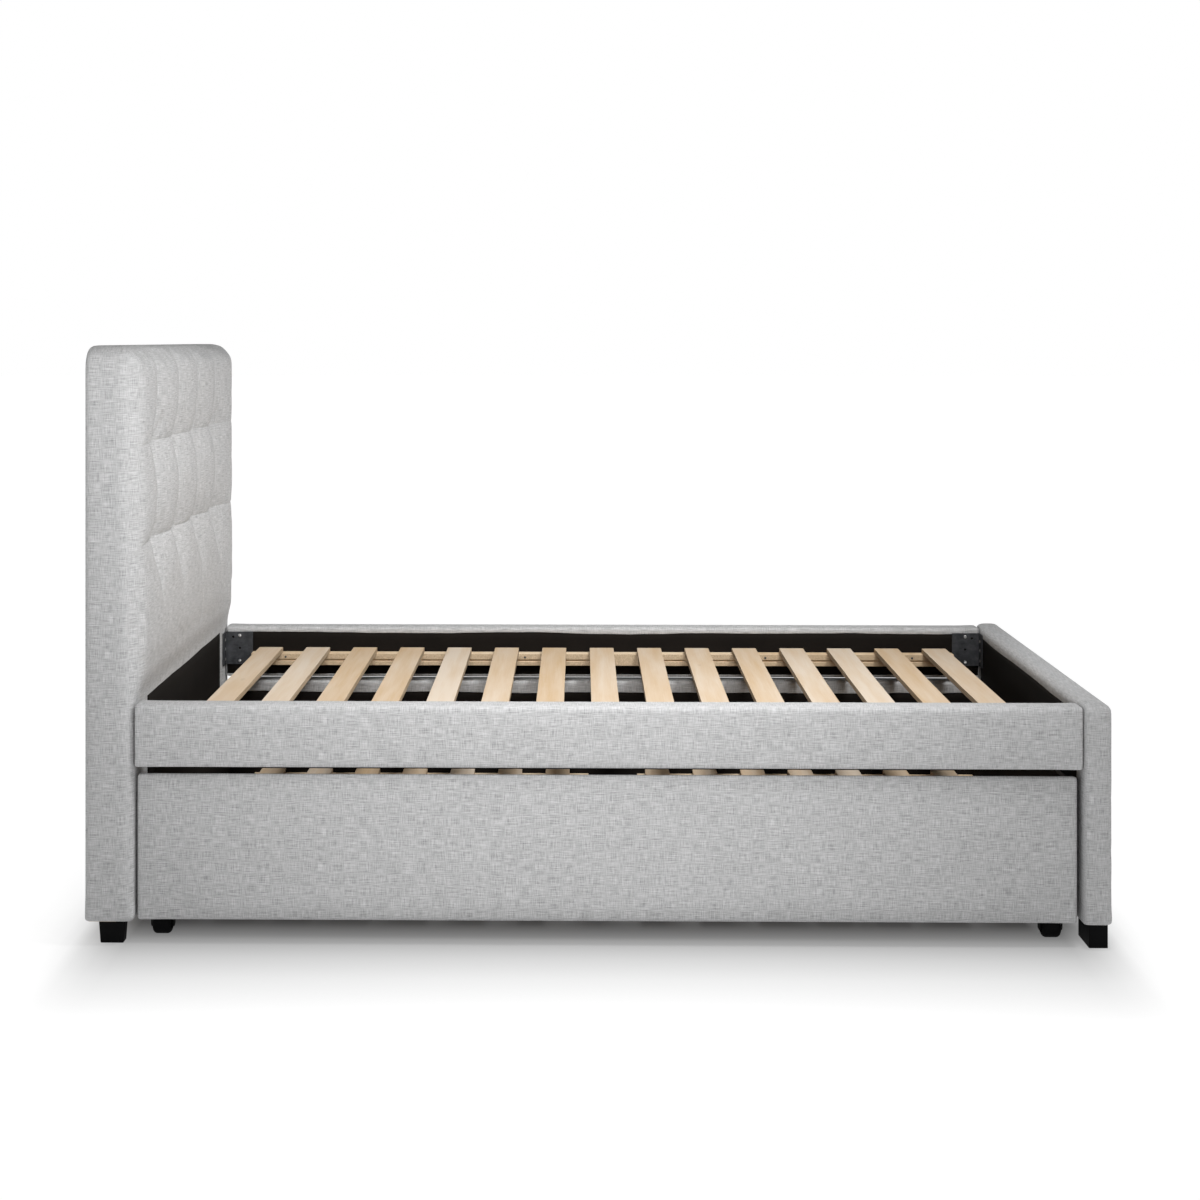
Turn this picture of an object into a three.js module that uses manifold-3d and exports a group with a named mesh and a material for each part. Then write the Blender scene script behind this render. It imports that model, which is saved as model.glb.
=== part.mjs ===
// A single bed with a trundle bed that rolls out from under its long side.
// Millimetres. +X runs from the headboard to the footboard, -Y is the side the trundle rolls out of,
// +Z is up, and the origin is on the floor under the middle of the bed.

import * as THREE from 'three';
import { mergeVertices } from 'three/addons/utils/BufferGeometryUtils.js';
import Module from 'manifold-3d';

// ---------------------------------------------------------------- driving dimensions

const LENGTH = 2068; // over the headboard and the footboard
const WIDTH = 1050; // of the headboard and the footboard
const HEADBOARD_TOP = 1206;
const HEADBOARD_THICK = 100;
const FOOTBOARD_THICK = 58;
const FABRIC_BOTTOM = 47; // height of the upholstery above the floor
const TOUCH = 0.3; // gap left between two pieces that touch
const FABRIC_CORNER = 1; // radius of an upholstered board's corner where its edge is softened as well

// headboard
const HEADBOARD_CORNER = 46; // radius of the two top corners
const HEADBOARD_EDGE = 14; // softening of the cover's edges
const PAD_FRONT = 38; // foam and fabric over the front of the timber board
const PAD_BACK = 6;
const PAD_SIDE = 12;
const PAD_TOP = 24;

// side rails and footboard
const RAIL_BOTTOM = 360;
const RAIL_TOP = 487;
const RAIL_THICK = 56;
const RAIL_INSET = 5; // the rail's outer face stands this far inside the headboard's edge
const RAIL_EDGE = 9;
const FOOTBOARD_TOP = 493;
const FOOTBOARD_EDGE = 18;

// feet
const HEAD_FOOT = { inset: 24, width: 54, tip: 47, depth: 24, setback: 25 };
const FOOT_FOOT = { inset: 6, width: 38, tip: 38, depth: 84, setback: 18 };

// slats and the ledgers that carry them
const SLAT_WIDTH = 60;
const SLAT_THICK = 12;
const SLAT_CORNER = 4;
const SLAT_PITCH = 119.4;
const SLAT_COUNT = 15;
const SLAT_TOP = 437;
const SLAT_LENGTH = 904;
const LEDGER = 30; // square section
const LEDGER_CLEAR = 71; // from the headboard or the footboard to the ledger's end, past the bracket
const GROOVE = { height: 4, depth: 6, below_top: 15, centre_plain: 110, end_plain: 12 };

// corner brackets: steel angles between a rail and the headboard or the footboard
const PLATE = 2.5;
const BRACKET_RAIL_LEG = 70;
const BRACKET_END_LEG = 36;
const BRACKET_HEIGHTS = [392, 474];
const BRACKET_HOLE = 3.2; // radius of a screw hole
const BRACKET_HOLES = {
  // height of each hole, by its distance from the corner of the angle
  rail: { 20: [461], 37: [465, 433, 401] },
  end: { 18: [456, 433, 407] },
};

// trundle
const TRUNDLE_HEAD_GAP = 3; // between the trundle and the headboard
const TRUNDLE_FOOT_GAP = 8.5; // between the trundle and the footboard
const PANEL_TOP = { front: 345, back: 354 }; // the front is lower: fingers reach over it to pull the trundle
const PANEL_BOTTOM = 48;
const PANEL_THICK = 57;
const PANEL_INSET = 18; // of the panel's outer face inside the headboard's edge
const PANEL_EDGE = 9;
const END_BOARD = 12;
const END_BOARD_TOP = 325;
const END_BOARD_BOTTOM = 60;
const TRUNDLE_SLAT_TOP = 133;
const TRUNDLE_SLAT_LENGTH = 884;
const TRUNDLE_HALVES = [-856, 110]; // where each half of the slatted base starts
const HALF_LENGTH = 844;
const HALF_SLATS = 7;
const HALF_MARGIN = 20; // from the start of a ledger to its first slat

// castors
const WHEEL_RADIUS = 25;
const WHEEL_WIDTH = 38;
const WHEEL_SHOULDER = 9;
const WHEEL_DISH = 4; // depth of the dished sides
const WHEEL_HUB = 9; // radius of the hub
const DISH_SLOPE = 1.5; // how far the dish's walls lean in
const AXLE_RADIUS = 4;
const AXLE_CLEARANCE = 0.06;
const CASTOR_INSET = 38; // from the panel's end to the middle of the wheel
const CASTOR_BACK = 16; // from the panel's inner face to the axle
const CASTOR_WIDTH = 50;
const CHEEK = 3;
const CHEEK_GAP = 1;
const CHEEK_RADIUS = 11; // round the axle
const CASTOR_FRONT = 16; // from the axle to the free edge of the bracket's cap
const CASTOR_CAP = { bottom: 53, top: 57 };
const CASTOR_PLATE_TOP = 88;
const ROUND = 28; // facets round a wheel or an axle
const HOLE_FACETS = 10; // facets round a screw hole

// ---------------------------------------------------------------- places worked out from them

const HEAD_FACE = -LENGTH / 2 + HEADBOARD_THICK;
const FOOT_FACE = LENGTH / 2 - FOOTBOARD_THICK;
const INSIDE_MIDDLE = (HEAD_FACE + FOOT_FACE) / 2;
const RAIL_OUTER = WIDTH / 2 - RAIL_INSET;
const RAIL_INNER = RAIL_OUTER - RAIL_THICK;
const PANEL_OUTER = WIDTH / 2 - PANEL_INSET;
const PANEL_INNER = PANEL_OUTER - PANEL_THICK;
const TRUNDLE_MIN = HEAD_FACE + TRUNDLE_HEAD_GAP;
const TRUNDLE_MAX = FOOT_FACE - TRUNDLE_FOOT_GAP;
const SIDES = { front: -1, back: 1 };

// ---------------------------------------------------------------- materials

const finish = (color, roughness, metalness = 0) => ({ color, roughness, metalness });
const FINISHES = {
  fabric: finish(0xb4b4b5, 0.95),
  timber: finish(0xc9a878, 0.8),
  birch: finish(0xe0c8ac, 0.6),
  pine: finish(0xecd0b0, 0.65),
  lining: finish(0x1a1512, 0.95),
  steel: finish(0x44464a, 0.5, 0.7),
  plastic: finish(0x0b0b0c, 0.45),
};

function named(name, geometry, slot) {
  const mesh = new THREE.Mesh(geometry, new THREE.MeshStandardMaterial(FINISHES[slot]));
  mesh.name = name;
  return mesh;
}

// ---------------------------------------------------------------- solids

const wasm = await Module();
wasm.setup();

function toManifold(geometry) {
  const bare = geometry.clone();
  bare.deleteAttribute('normal');
  bare.deleteAttribute('uv');
  const merged = mergeVertices(bare, 1e-4);
  const vertProperties = Float32Array.from(merged.attributes.position.array);
  const triVerts = Uint32Array.from(merged.index.array);
  return new wasm.Manifold(new wasm.Mesh({ numProp: 3, vertProperties, triVerts }));
}

function toGeometry(solid) {
  const mesh = solid.getMesh();
  const geometry = new THREE.BufferGeometry();
  geometry.setAttribute('position', new THREE.BufferAttribute(mesh.vertProperties, 3));
  geometry.setIndex(new THREE.BufferAttribute(mesh.triVerts, 1));
  geometry.computeVertexNormals();
  return geometry;
}

const join = (...pieces) => toGeometry(pieces.map(toManifold).reduce((a, b) => a.add(b)));
const cut = (piece, ...holes) =>
  toGeometry(holes.map(toManifold).reduce((a, b) => a.subtract(b), toManifold(piece)));

// How an outline's own x, y and depth turn into the bed's axes, for an extrusion along X or along Z.
const X = new THREE.Vector3(1, 0, 0);
const Y = new THREE.Vector3(0, 1, 0);
const Z = new THREE.Vector3(0, 0, 1);
const TURNS = {
  x: new THREE.Matrix4().makeBasis(Y, Z, X),
  z: new THREE.Matrix4().makeBasis(X, Y, Z),
};

function extrude(shape, axis, from, to, options = {}) {
  const settings = { depth: to - from, bevelEnabled: false, curveSegments: 4, ...options };
  const geometry = new THREE.ExtrudeGeometry(shape, settings);
  geometry.translate(0, 0, from);
  geometry.applyMatrix4(TURNS[axis]);
  return geometry;
}

// A rectangle with its own radius at each corner, from the low corner anticlockwise.
function roundedRectangle([u0, u1], [v0, v1], radii) {
  const [a, b, c, d] = radii;
  const shape = new THREE.Shape();
  shape.moveTo(u0 + a, v0);
  shape.lineTo(u1 - b, v0);
  if (b) shape.absarc(u1 - b, v0 + b, b, -Math.PI / 2, 0);
  shape.lineTo(u1, v1 - c);
  if (c) shape.absarc(u1 - c, v1 - c, c, 0, Math.PI / 2);
  shape.lineTo(u0 + d, v1);
  if (d) shape.absarc(u0 + d, v1 - d, d, Math.PI / 2, Math.PI);
  shape.lineTo(u0, v0 + a);
  if (a) shape.absarc(u0 + a, v0 + a, a, Math.PI, 1.5 * Math.PI);
  return shape;
}

const ordered = (a, b) => [Math.min(a, b), Math.max(a, b)];

function box([x0, x1], [y0, y1], [z0, z1]) {
  const geometry = new THREE.BoxGeometry(x1 - x0, y1 - y0, z1 - z0);
  geometry.translate((x0 + x1) / 2, (y0 + y1) / 2, (z0 + z1) / 2);
  return geometry;
}

// ---------------------------------------------------------------- upholstered boards

function headboardFrame() {
  const half = WIDTH / 2 - PAD_SIDE;
  const corner = HEADBOARD_CORNER - PAD_SIDE;
  const outline = roundedRectangle(
    [-half, half],
    [FABRIC_BOTTOM, HEADBOARD_TOP - PAD_TOP],
    [0, 0, corner, corner],
  );
  return extrude(outline, 'x', -LENGTH / 2 + PAD_BACK, HEAD_FACE - PAD_FRONT);
}

// The cover is a sock over the timber board, open underneath.
function headboardCover() {
  const e = HEADBOARD_EDGE;
  const half = WIDTH / 2 - e;
  const corner = HEADBOARD_CORNER - e;
  const outline = roundedRectangle(
    [-half, half],
    [FABRIC_BOTTOM + e, HEADBOARD_TOP - e],
    [FABRIC_CORNER, FABRIC_CORNER, corner, corner],
  );
  const bevel = { bevelEnabled: true, bevelSize: e, bevelThickness: e, bevelSegments: 3 };
  const outside = extrude(outline, 'x', -LENGTH / 2 + e, HEAD_FACE - e, bevel);
  const pocketHalf = WIDTH / 2 - PAD_SIDE + TOUCH;
  const pocketCorner = HEADBOARD_CORNER - PAD_SIDE;
  const pocket = roundedRectangle(
    [-pocketHalf, pocketHalf],
    [0, HEADBOARD_TOP - PAD_TOP + TOUCH],
    [0, 0, pocketCorner, pocketCorner],
  );
  const low = -LENGTH / 2 + PAD_BACK - TOUCH;
  return cut(outside, extrude(pocket, 'x', low, HEAD_FACE - PAD_FRONT + TOUCH));
}

function footboard() {
  const e = FOOTBOARD_EDGE;
  const outline = roundedRectangle(
    [-WIDTH / 2 + e, WIDTH / 2 - e],
    [FABRIC_BOTTOM + e, FOOTBOARD_TOP - e],
    Array(4).fill(FABRIC_CORNER),
  );
  const bevel = { bevelEnabled: true, bevelSize: e, bevelThickness: e, bevelSegments: 4 };
  return extrude(outline, 'x', FOOT_FACE + e, LENGTH / 2 - e, bevel);
}

// A long board along X with softened edges, on one side of the bed.
function longBoard(side, [inner, outer], [z0, z1], edge, [x0, x1]) {
  const span = ordered(side * inner, side * outer);
  const outline = roundedRectangle(span, [z0, z1], [edge, edge, edge, edge]);
  return extrude(outline, 'x', x0, x1);
}

const sideRail = (side) =>
  longBoard(side, [RAIL_INNER, RAIL_OUTER], [RAIL_BOTTOM, RAIL_TOP], RAIL_EDGE, [
    HEAD_FACE + TOUCH,
    FOOT_FACE - TOUCH,
  ]);

const trundlePanel = (place, side) =>
  longBoard(side, [PANEL_INNER, PANEL_OUTER], [PANEL_BOTTOM, PANEL_TOP[place]], PANEL_EDGE, [
    TRUNDLE_MIN,
    TRUNDLE_MAX,
  ]);

// ---------------------------------------------------------------- feet, brackets, ledgers, slats

// A block that narrows a little towards the floor. `end` is -1 under the headboard, 1 under the footboard.
function foot(end, side, { inset, width, tip, depth, setback }) {
  const middle = end * (LENGTH / 2 - inset - width / 2);
  const outline = new THREE.Shape();
  const top = FABRIC_BOTTOM - TOUCH;
  outline.moveTo(middle - tip / 2, 0);
  outline.lineTo(middle + tip / 2, 0);
  outline.lineTo(middle + width / 2, top);
  outline.lineTo(middle - width / 2, top);
  outline.closePath();
  const outer = side * (WIDTH / 2 - setback);
  const [y0, y1] = ordered(outer, outer - side * depth);
  const geometry = new THREE.ExtrudeGeometry(outline, { depth: y1 - y0, bevelEnabled: false });
  geometry.rotateX(Math.PI / 2);
  geometry.translate(0, y1, 0);
  return geometry;
}

function cornerBracket(end, side) {
  const face = end < 0 ? HEAD_FACE : FOOT_FACE;
  const near = face - end * TOUCH;
  const rail = side * (RAIL_INNER - TOUCH);
  const railLeg = box(
    ordered(near, near - end * BRACKET_RAIL_LEG),
    ordered(rail, rail - side * PLATE),
    BRACKET_HEIGHTS,
  );
  const endLeg = box(
    ordered(near, near - end * PLATE),
    ordered(rail, rail - side * BRACKET_END_LEG),
    BRACKET_HEIGHTS,
  );
  const holes = [];
  for (const [distance, heights] of Object.entries(BRACKET_HOLES.rail)) {
    for (const z of heights) holes.push(drill('y', near - end * distance, rail, z));
  }
  for (const [distance, heights] of Object.entries(BRACKET_HOLES.end)) {
    for (const z of heights) holes.push(drill('x', near, rail - side * distance, z));
  }
  return cut(join(railLeg, endLeg), ...holes);
}

// A cylinder along X or Y that cuts a screw hole through a bracket's leg.
function drill(axis, x, y, z) {
  const drillBit = new THREE.CylinderGeometry(BRACKET_HOLE, BRACKET_HOLE, 4 * PLATE, HOLE_FACETS);
  if (axis === 'x') drillBit.rotateZ(Math.PI / 2);
  drillBit.translate(x, y, z);
  return drillBit;
}

// The ledger's inner face has a groove on each side of a plain middle.
function railLedger(side) {
  const x0 = HEAD_FACE + LEDGER_CLEAR;
  const x1 = FOOT_FACE - LEDGER_CLEAR;
  const against = side * (RAIL_INNER - TOUCH);
  const inner = against - side * LEDGER;
  const top = SLAT_TOP - SLAT_THICK - TOUCH;
  const bar = box([x0, x1], ordered(against, inner), [top - LEDGER, top]);
  const grooveZ = [top - GROOVE.below_top - GROOVE.height, top - GROOVE.below_top];
  const grooveY = ordered(inner - side, inner + side * GROOVE.depth);
  const half = GROOVE.centre_plain / 2;
  const middle = INSIDE_MIDDLE + SLAT_PITCH / 2;
  const left = box([x0 + GROOVE.end_plain, middle - half], grooveY, grooveZ);
  const right = box([middle + half, x1 - GROOVE.end_plain], grooveY, grooveZ);
  return cut(bar, left, right);
}

function trundleLedger(start, side) {
  const against = side * (PANEL_INNER - TOUCH);
  const top = TRUNDLE_SLAT_TOP - SLAT_THICK - TOUCH;
  return box(
    [start, start + HALF_LENGTH],
    ordered(against, against - side * LEDGER),
    [top - LEDGER, top],
  );
}

function slat(x0, length, top) {
  const r = SLAT_CORNER;
  const plan = roundedRectangle([x0, x0 + SLAT_WIDTH], [-length / 2, length / 2], [r, r, r, r]);
  return extrude(plan, 'z', top - SLAT_THICK, top, { curveSegments: 2 });
}

function endBoard(end) {
  const x = end < 0 ? [TRUNDLE_MIN, TRUNDLE_MIN + END_BOARD] : [TRUNDLE_MAX - END_BOARD, TRUNDLE_MAX];
  const half = PANEL_INNER - TOUCH;
  return box(x, [-half, half], [END_BOARD_BOTTOM, END_BOARD_TOP]);
}

// ---------------------------------------------------------------- castors

const castorX = (end) => (end < 0 ? TRUNDLE_MIN + CASTOR_INSET : TRUNDLE_MAX - CASTOR_INSET);
const castorY = (side) => side * (PANEL_INNER - CASTOR_BACK);

function wheel() {
  const half = WHEEL_WIDTH / 2;
  const bore = AXLE_RADIUS + AXLE_CLEARANCE;
  const rim = WHEEL_RADIUS - WHEEL_SHOULDER;
  const outline = [
    new THREE.Vector2(bore, -half),
    new THREE.Vector2(WHEEL_HUB, -half),
    new THREE.Vector2(WHEEL_HUB + DISH_SLOPE, -half + WHEEL_DISH),
    new THREE.Vector2(rim - DISH_SLOPE, -half + WHEEL_DISH),
    new THREE.Vector2(rim, -half),
  ];
  const steps = 3;
  for (const [centre, start] of [[-half + WHEEL_SHOULDER, -90], [half - WHEEL_SHOULDER, 0]]) {
    for (let i = 1; i <= steps; i += 1) {
      const angle = THREE.MathUtils.degToRad(start + (90 * i) / steps);
      const r = rim + WHEEL_SHOULDER * Math.cos(angle);
      outline.push(new THREE.Vector2(r, centre + WHEEL_SHOULDER * Math.sin(angle)));
    }
    if (start < 0) outline.push(new THREE.Vector2(WHEEL_RADIUS, half - WHEEL_SHOULDER));
  }
  outline.push(
    new THREE.Vector2(rim - DISH_SLOPE, half - WHEEL_DISH),
    new THREE.Vector2(WHEEL_HUB + DISH_SLOPE, half - WHEEL_DISH),
    new THREE.Vector2(WHEEL_HUB, half),
    new THREE.Vector2(bore, half),
    new THREE.Vector2(bore, -half),
  );
  const geometry = new THREE.LatheGeometry(outline, ROUND);
  geometry.rotateZ(-Math.PI / 2);
  return geometry;
}

// One cheek of the bracket: straight sides above the axle, round below it.
function cheek([x0, x1], z) {
  const r = CHEEK_RADIUS;
  const top = CASTOR_CAP.top - z;
  const shape = new THREE.Shape();
  shape.moveTo(r, top);
  shape.lineTo(-r, top);
  shape.lineTo(-r, 0);
  shape.absarc(0, 0, r, Math.PI, 2 * Math.PI);
  shape.closePath();
  return extrude(shape, 'x', x0, x1, { curveSegments: 12 });
}

// The bracket with its axle, about the middle of the axle. Its plate stands against the panel.
function castorBracket(side) {
  const z = WHEEL_RADIUS;
  const inner = WHEEL_WIDTH / 2 + CHEEK_GAP;
  const outer = inner + CHEEK;
  const half = CASTOR_WIDTH / 2;
  const back = side * (CASTOR_BACK - TOUCH);
  const cap = box(
    [-half, half],
    ordered(back, -side * CASTOR_FRONT),
    [CASTOR_CAP.bottom - z, CASTOR_CAP.top - z],
  );
  const plate = box(
    [-half, half],
    ordered(back, back - side * CHEEK),
    [CASTOR_CAP.bottom - z, CASTOR_PLATE_TOP - z],
  );
  const axle = new THREE.CylinderGeometry(AXLE_RADIUS, AXLE_RADIUS, 2 * inner + CHEEK, ROUND);
  axle.rotateZ(Math.PI / 2);
  return join(cap, plate, cheek([-outer, -inner], z), cheek([inner, outer], z), axle);
}

// ---------------------------------------------------------------- the bed

function bed() {
  const group = new THREE.Group();
  group.add(named('headboard_frame', headboardFrame(), 'timber'));
  group.add(named('headboard_cover', headboardCover(), 'fabric'));
  group.add(named('footboard', footboard(), 'fabric'));
  for (const [place, side] of Object.entries(SIDES)) {
    group.add(named(`side_rail_${place}`, sideRail(side), 'fabric'));
    group.add(named(`slat_ledger_${place}`, railLedger(side), 'pine'));
    group.add(named(`head_foot_${place}`, foot(-1, side, HEAD_FOOT), 'plastic'));
    group.add(named(`foot_foot_${place}`, foot(1, side, FOOT_FOOT), 'plastic'));
    group.add(named(`head_bracket_${place}`, cornerBracket(-1, side), 'steel'));
    group.add(named(`foot_bracket_${place}`, cornerBracket(1, side), 'steel'));
  }
  const first = INSIDE_MIDDLE - ((SLAT_COUNT - 1) * SLAT_PITCH + SLAT_WIDTH) / 2;
  for (let i = 0; i < SLAT_COUNT; i += 1) {
    const number = String(i + 1).padStart(2, '0');
    const geometry = slat(first + i * SLAT_PITCH, SLAT_LENGTH, SLAT_TOP);
    group.add(named(`slat_${number}`, geometry, 'birch'));
  }
  return group;
}

function trundle() {
  const group = new THREE.Group();
  group.add(named('trundle_end_head', endBoard(-1), 'lining'));
  group.add(named('trundle_end_foot', endBoard(1), 'lining'));
  for (const [place, side] of Object.entries(SIDES)) {
    group.add(named(`trundle_panel_${place}`, trundlePanel(place, side), 'fabric'));
    TRUNDLE_HALVES.forEach((start, half) => {
      const name = `trundle_ledger_${place}_${half + 1}`;
      group.add(named(name, trundleLedger(start, side), 'pine'));
    });
    for (const [corner, end] of [['head', -1], ['foot', 1]]) {
      const castor = new THREE.Group();
      castor.position.set(castorX(end), castorY(side), WHEEL_RADIUS);
      castor.add(named(`castor_bracket_${corner}_${place}`, castorBracket(side), 'plastic'));
      castor.add(named(`wheel_${corner}_${place}`, wheel(), 'plastic'));
      group.add(castor);
    }
  }
  TRUNDLE_HALVES.forEach((start, half) => {
    for (let i = 0; i < HALF_SLATS; i += 1) {
      const number = String(half * HALF_SLATS + i + 1).padStart(2, '0');
      const x0 = start + HALF_MARGIN + i * SLAT_PITCH;
      const geometry = slat(x0, TRUNDLE_SLAT_LENGTH, TRUNDLE_SLAT_TOP);
      group.add(named(`trundle_slat_${number}`, geometry, 'birch'));
    }
  });
  return group;
}

const trundleBed = new THREE.Group();
trundleBed.add(bed(), trundle());
export default trundleBed;
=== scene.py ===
"""The looks of a trundle bed: grey linen over foam, black lining, birch slats, steel brackets.

Metres, in the row frame: +X runs from the headboard to the footboard, -Y is the side that the trundle
rolls out of, and +Z is up. The boards, wheels and screws take their places from the CAD frame.
"""

import math
from collections import namedtuple

import bpy
import numpy as np
from mathutils import Matrix, Vector


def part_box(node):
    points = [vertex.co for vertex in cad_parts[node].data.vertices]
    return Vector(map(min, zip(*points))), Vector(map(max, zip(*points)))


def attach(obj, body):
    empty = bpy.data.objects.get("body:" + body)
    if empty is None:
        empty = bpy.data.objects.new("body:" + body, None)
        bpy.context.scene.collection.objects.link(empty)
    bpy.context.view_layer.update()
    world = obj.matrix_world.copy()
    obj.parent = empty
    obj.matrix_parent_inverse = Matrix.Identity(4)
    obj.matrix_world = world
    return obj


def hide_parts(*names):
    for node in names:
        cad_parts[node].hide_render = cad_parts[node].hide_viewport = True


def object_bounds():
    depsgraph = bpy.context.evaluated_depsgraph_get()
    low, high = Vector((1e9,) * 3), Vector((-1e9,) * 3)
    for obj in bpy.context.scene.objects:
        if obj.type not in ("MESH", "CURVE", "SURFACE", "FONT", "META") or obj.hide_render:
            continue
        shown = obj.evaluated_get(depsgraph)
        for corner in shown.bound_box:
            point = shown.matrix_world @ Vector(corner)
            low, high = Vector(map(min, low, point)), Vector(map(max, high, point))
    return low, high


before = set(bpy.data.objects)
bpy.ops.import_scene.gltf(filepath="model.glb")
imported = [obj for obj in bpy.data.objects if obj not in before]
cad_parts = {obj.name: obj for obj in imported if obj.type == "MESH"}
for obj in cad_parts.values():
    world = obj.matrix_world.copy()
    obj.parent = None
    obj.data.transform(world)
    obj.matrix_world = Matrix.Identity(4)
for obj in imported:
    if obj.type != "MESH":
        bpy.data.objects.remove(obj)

CAD_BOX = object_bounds()
MM = 0.001
SIDES = {"front": -1, "back": 1}
ENDS = {"head": -1, "foot": 1}
UP = np.array([0.0, 0.0, 1.0])
CLOTH_UV = "cloth"

# ------------------------------------------------------------------ sizes of what Blender adds

LINING_THICK = 0.5 * MM
HEM_THICK = 0.9 * MM
INNER_SETBACK = 1.3 * MM  # a board's inner face stands behind its CAD face, which leaves room for the lining
DROP_REACH = 70 * MM  # how far down from a sloping top the slope is felt
ROLL_BLEND = 60 * MM  # over what distance from a corner one edge's radius changes to the next one's
RAIL_WRAP = 15 * MM  # how far the linen comes down over a rail's inner face
PANEL_WRAP = {"front": 46 * MM, "back": 30 * MM}
FOOT_WRAP = 28 * MM
# an upholstered board's radii: its outline's (top, bottom) corners, and the rolls round its good face and
# round its back as (sides, top, bottom). drop: how much lower its top is at the back.
Edges = namedtuple("Edges", "corners face back drop", defaults=[0.0])
RAIL_EDGES = Edges((6 * MM, 6 * MM), (5 * MM, 12 * MM, 9 * MM), (5 * MM, 9 * MM, 5 * MM))
PANEL_EDGES = {
    "front": Edges((7 * MM, 7 * MM), (6 * MM, 8 * MM, 9 * MM), (6 * MM, 9 * MM, 5 * MM), 14 * MM),
    "back": Edges((7 * MM, 7 * MM), (6 * MM, 6 * MM, 9 * MM), (6 * MM, 9 * MM, 5 * MM)),
}
FOOT_EDGES = Edges((20 * MM, 18 * MM), (18 * MM, 19 * MM, 8 * MM), (12 * MM, 18 * MM, 6 * MM))
HEAD_EDGES = Edges((46 * MM, 14 * MM), (26 * MM, 36 * MM, 10 * MM), (13 * MM, 13 * MM, 6 * MM))
HEAD_LINING = {"half": 395 * MM, "top": 482 * MM}
SEAMS_ACROSS = (-315 * MM, -105 * MM, 105 * MM, 315 * MM)  # places along Y of the headboard's upright seams
SEAMS_UP = (803 * MM, 1008 * MM)  # heights of its level seams
UPRIGHT_FADE = (660 * MM, 130 * MM)  # the height where the upright seams start, and the rise they deepen over
LEVEL_FADE = (525 * MM, 200 * MM)  # how far out the level seams reach, and the distance they deepen over
TUFT_NODE = 13 * MM  # how deep the tufts' nodes are pulled in
TUFT_SEAM = 15 * MM
TUFT_CREASE = 9 * MM  # the width of the crease along a seam
HEAD_PLUMP = 13 * MM  # how far the padding stands out between its edges
PLUMP_FROM = (485 * MM, 70 * MM)  # the height where it starts to stand out, and the rise it takes
HEAD_SLOPE = (2 * MM, -8.6 * MM)  # the top's lift at its middle, and how that changes for each metre along +Y
BRACKET_SCREWS = {"rail": (37 * MM, (465 * MM, 401 * MM)), "end": (18 * MM, (456 * MM, 433 * MM, 407 * MM))}
LEDGER_SCREWS = [x * MM for x in (-776, -474, -172, 130, 432, 800)]
PLY_THICK = 12 * MM  # the slats' plywood
WHEEL_BORE = 4.06 * MM  # a wheel's inner radius, for an axle 8 mm across
SKY = 0.02  # the sky's level above the white band round the horizon
SKY_BAND = (11, 22)  # degrees above the horizon where that band ends, and where the dim sky begins
# each lamp's place, what it points at, its power in watts, the width of its cone in degrees, and its radius
LAMPS = {
    "front": ((-0.1, -2.3, 2.3), (-0.05, -0.4, 0.45), 195, 46, 0.4),
    "head": ((0.1, -2.5, 2.1), (-0.95, -0.3, 1.15), 160, 34, 0.3),
    "overhead": ((0.9, -0.8, 2.7), (0.1, 0.0, 0.45), 250, 80, 0.25),
    "key": ((-0.3, -1.1, 2.5), (-0.35, -0.1, 0.4), 30, 60, 0.06),
}
# how strongly the floor glows, by its distance in metres in front of the bed or behind it, and past its ends:
# a painted shade, dark by the bed and white away from it, for the bed's soft shadow
PAINTED_SHADE_GLOW_AHEAD = [
    (-0.20, 0.02), (-0.153, 0.06), (-0.083, 0.19), (-0.058, 0.25),
    (-0.026, 0.335), (0.063, 0.525), (0.177, 0.715), (0.43, 1.0),
]
PAINTED_SHADE_GLOW_ASIDE = [
    (-0.08, 0.0), (-0.04, 0.14), (0.0, 0.4), (0.03, 0.72),
    (0.06, 0.85), (0.10, 0.93), (0.15, 0.97), (0.25, 1.0),
]
FLOOR_WHITE = 0.12  # how much of the lamps' light the floor returns


def smooth(t):
    t = np.clip(t, 0.0, 1.0)
    return t * t * (3 - 2 * t)


def ripple(points, seed, wavelength, height, waves=14):
    """A smooth unevenness with no pattern: waves of about one length, in every direction."""
    rng = np.random.default_rng(seed)
    total = np.zeros(len(points))
    for _ in range(waves):
        direction = rng.normal(size=3)
        direction *= 2 * math.pi / (wavelength * rng.uniform(0.7, 1.6) * np.linalg.norm(direction))
        total += np.sin(points @ direction + rng.uniform(0, 2 * math.pi))
    return height * total / math.sqrt(waves)


# ------------------------------------------------------------------ meshes

def mesh_object(name, points, faces, uvs=None):
    """A mesh object. uvs is one pair for each corner of each face, in metres of cloth."""
    mesh = bpy.data.meshes.new(name)
    mesh.from_pydata([tuple(p) for p in points], [], faces)
    if uvs is not None:
        layer = mesh.uv_layers.new(name=CLOTH_UV)
        layer.data.foreach_set("uv", np.asarray(uvs, np.float32).ravel())
    mesh.shade_smooth()
    obj = bpy.data.objects.new(name, mesh)
    bpy.context.scene.collection.objects.link(obj)
    return obj


def add_modifier(obj, kind, **settings):
    modifier = obj.modifiers.new(kind.title(), kind)
    for key, value in settings.items():
        setattr(modifier, key, value)
    return modifier


def ease(obj, width, sharper, **settings):
    """Eases the edges that are sharper than an angle in degrees."""
    limit = {"limit_method": "ANGLE", "angle_limit": math.radians(sharper)}
    add_modifier(obj, "BEVEL", width=width, segments=2, **limit, **settings)


def lines(length, step, close=(), ends=()):
    """Grid places from -length/2 to length/2, about a step apart, also at each place in close, and at each
    distance in ends from both ends."""
    half = length / 2
    fixed = sorted({-half, half, *close, *(half - e for e in ends), *(e - half for e in ends)})
    places = []
    for low, high in zip(fixed, fixed[1:]):
        count = max(1, round((high - low) / step))
        places += list(np.linspace(low, high, count, endpoint=False))
    return np.array([*places, half])


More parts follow.
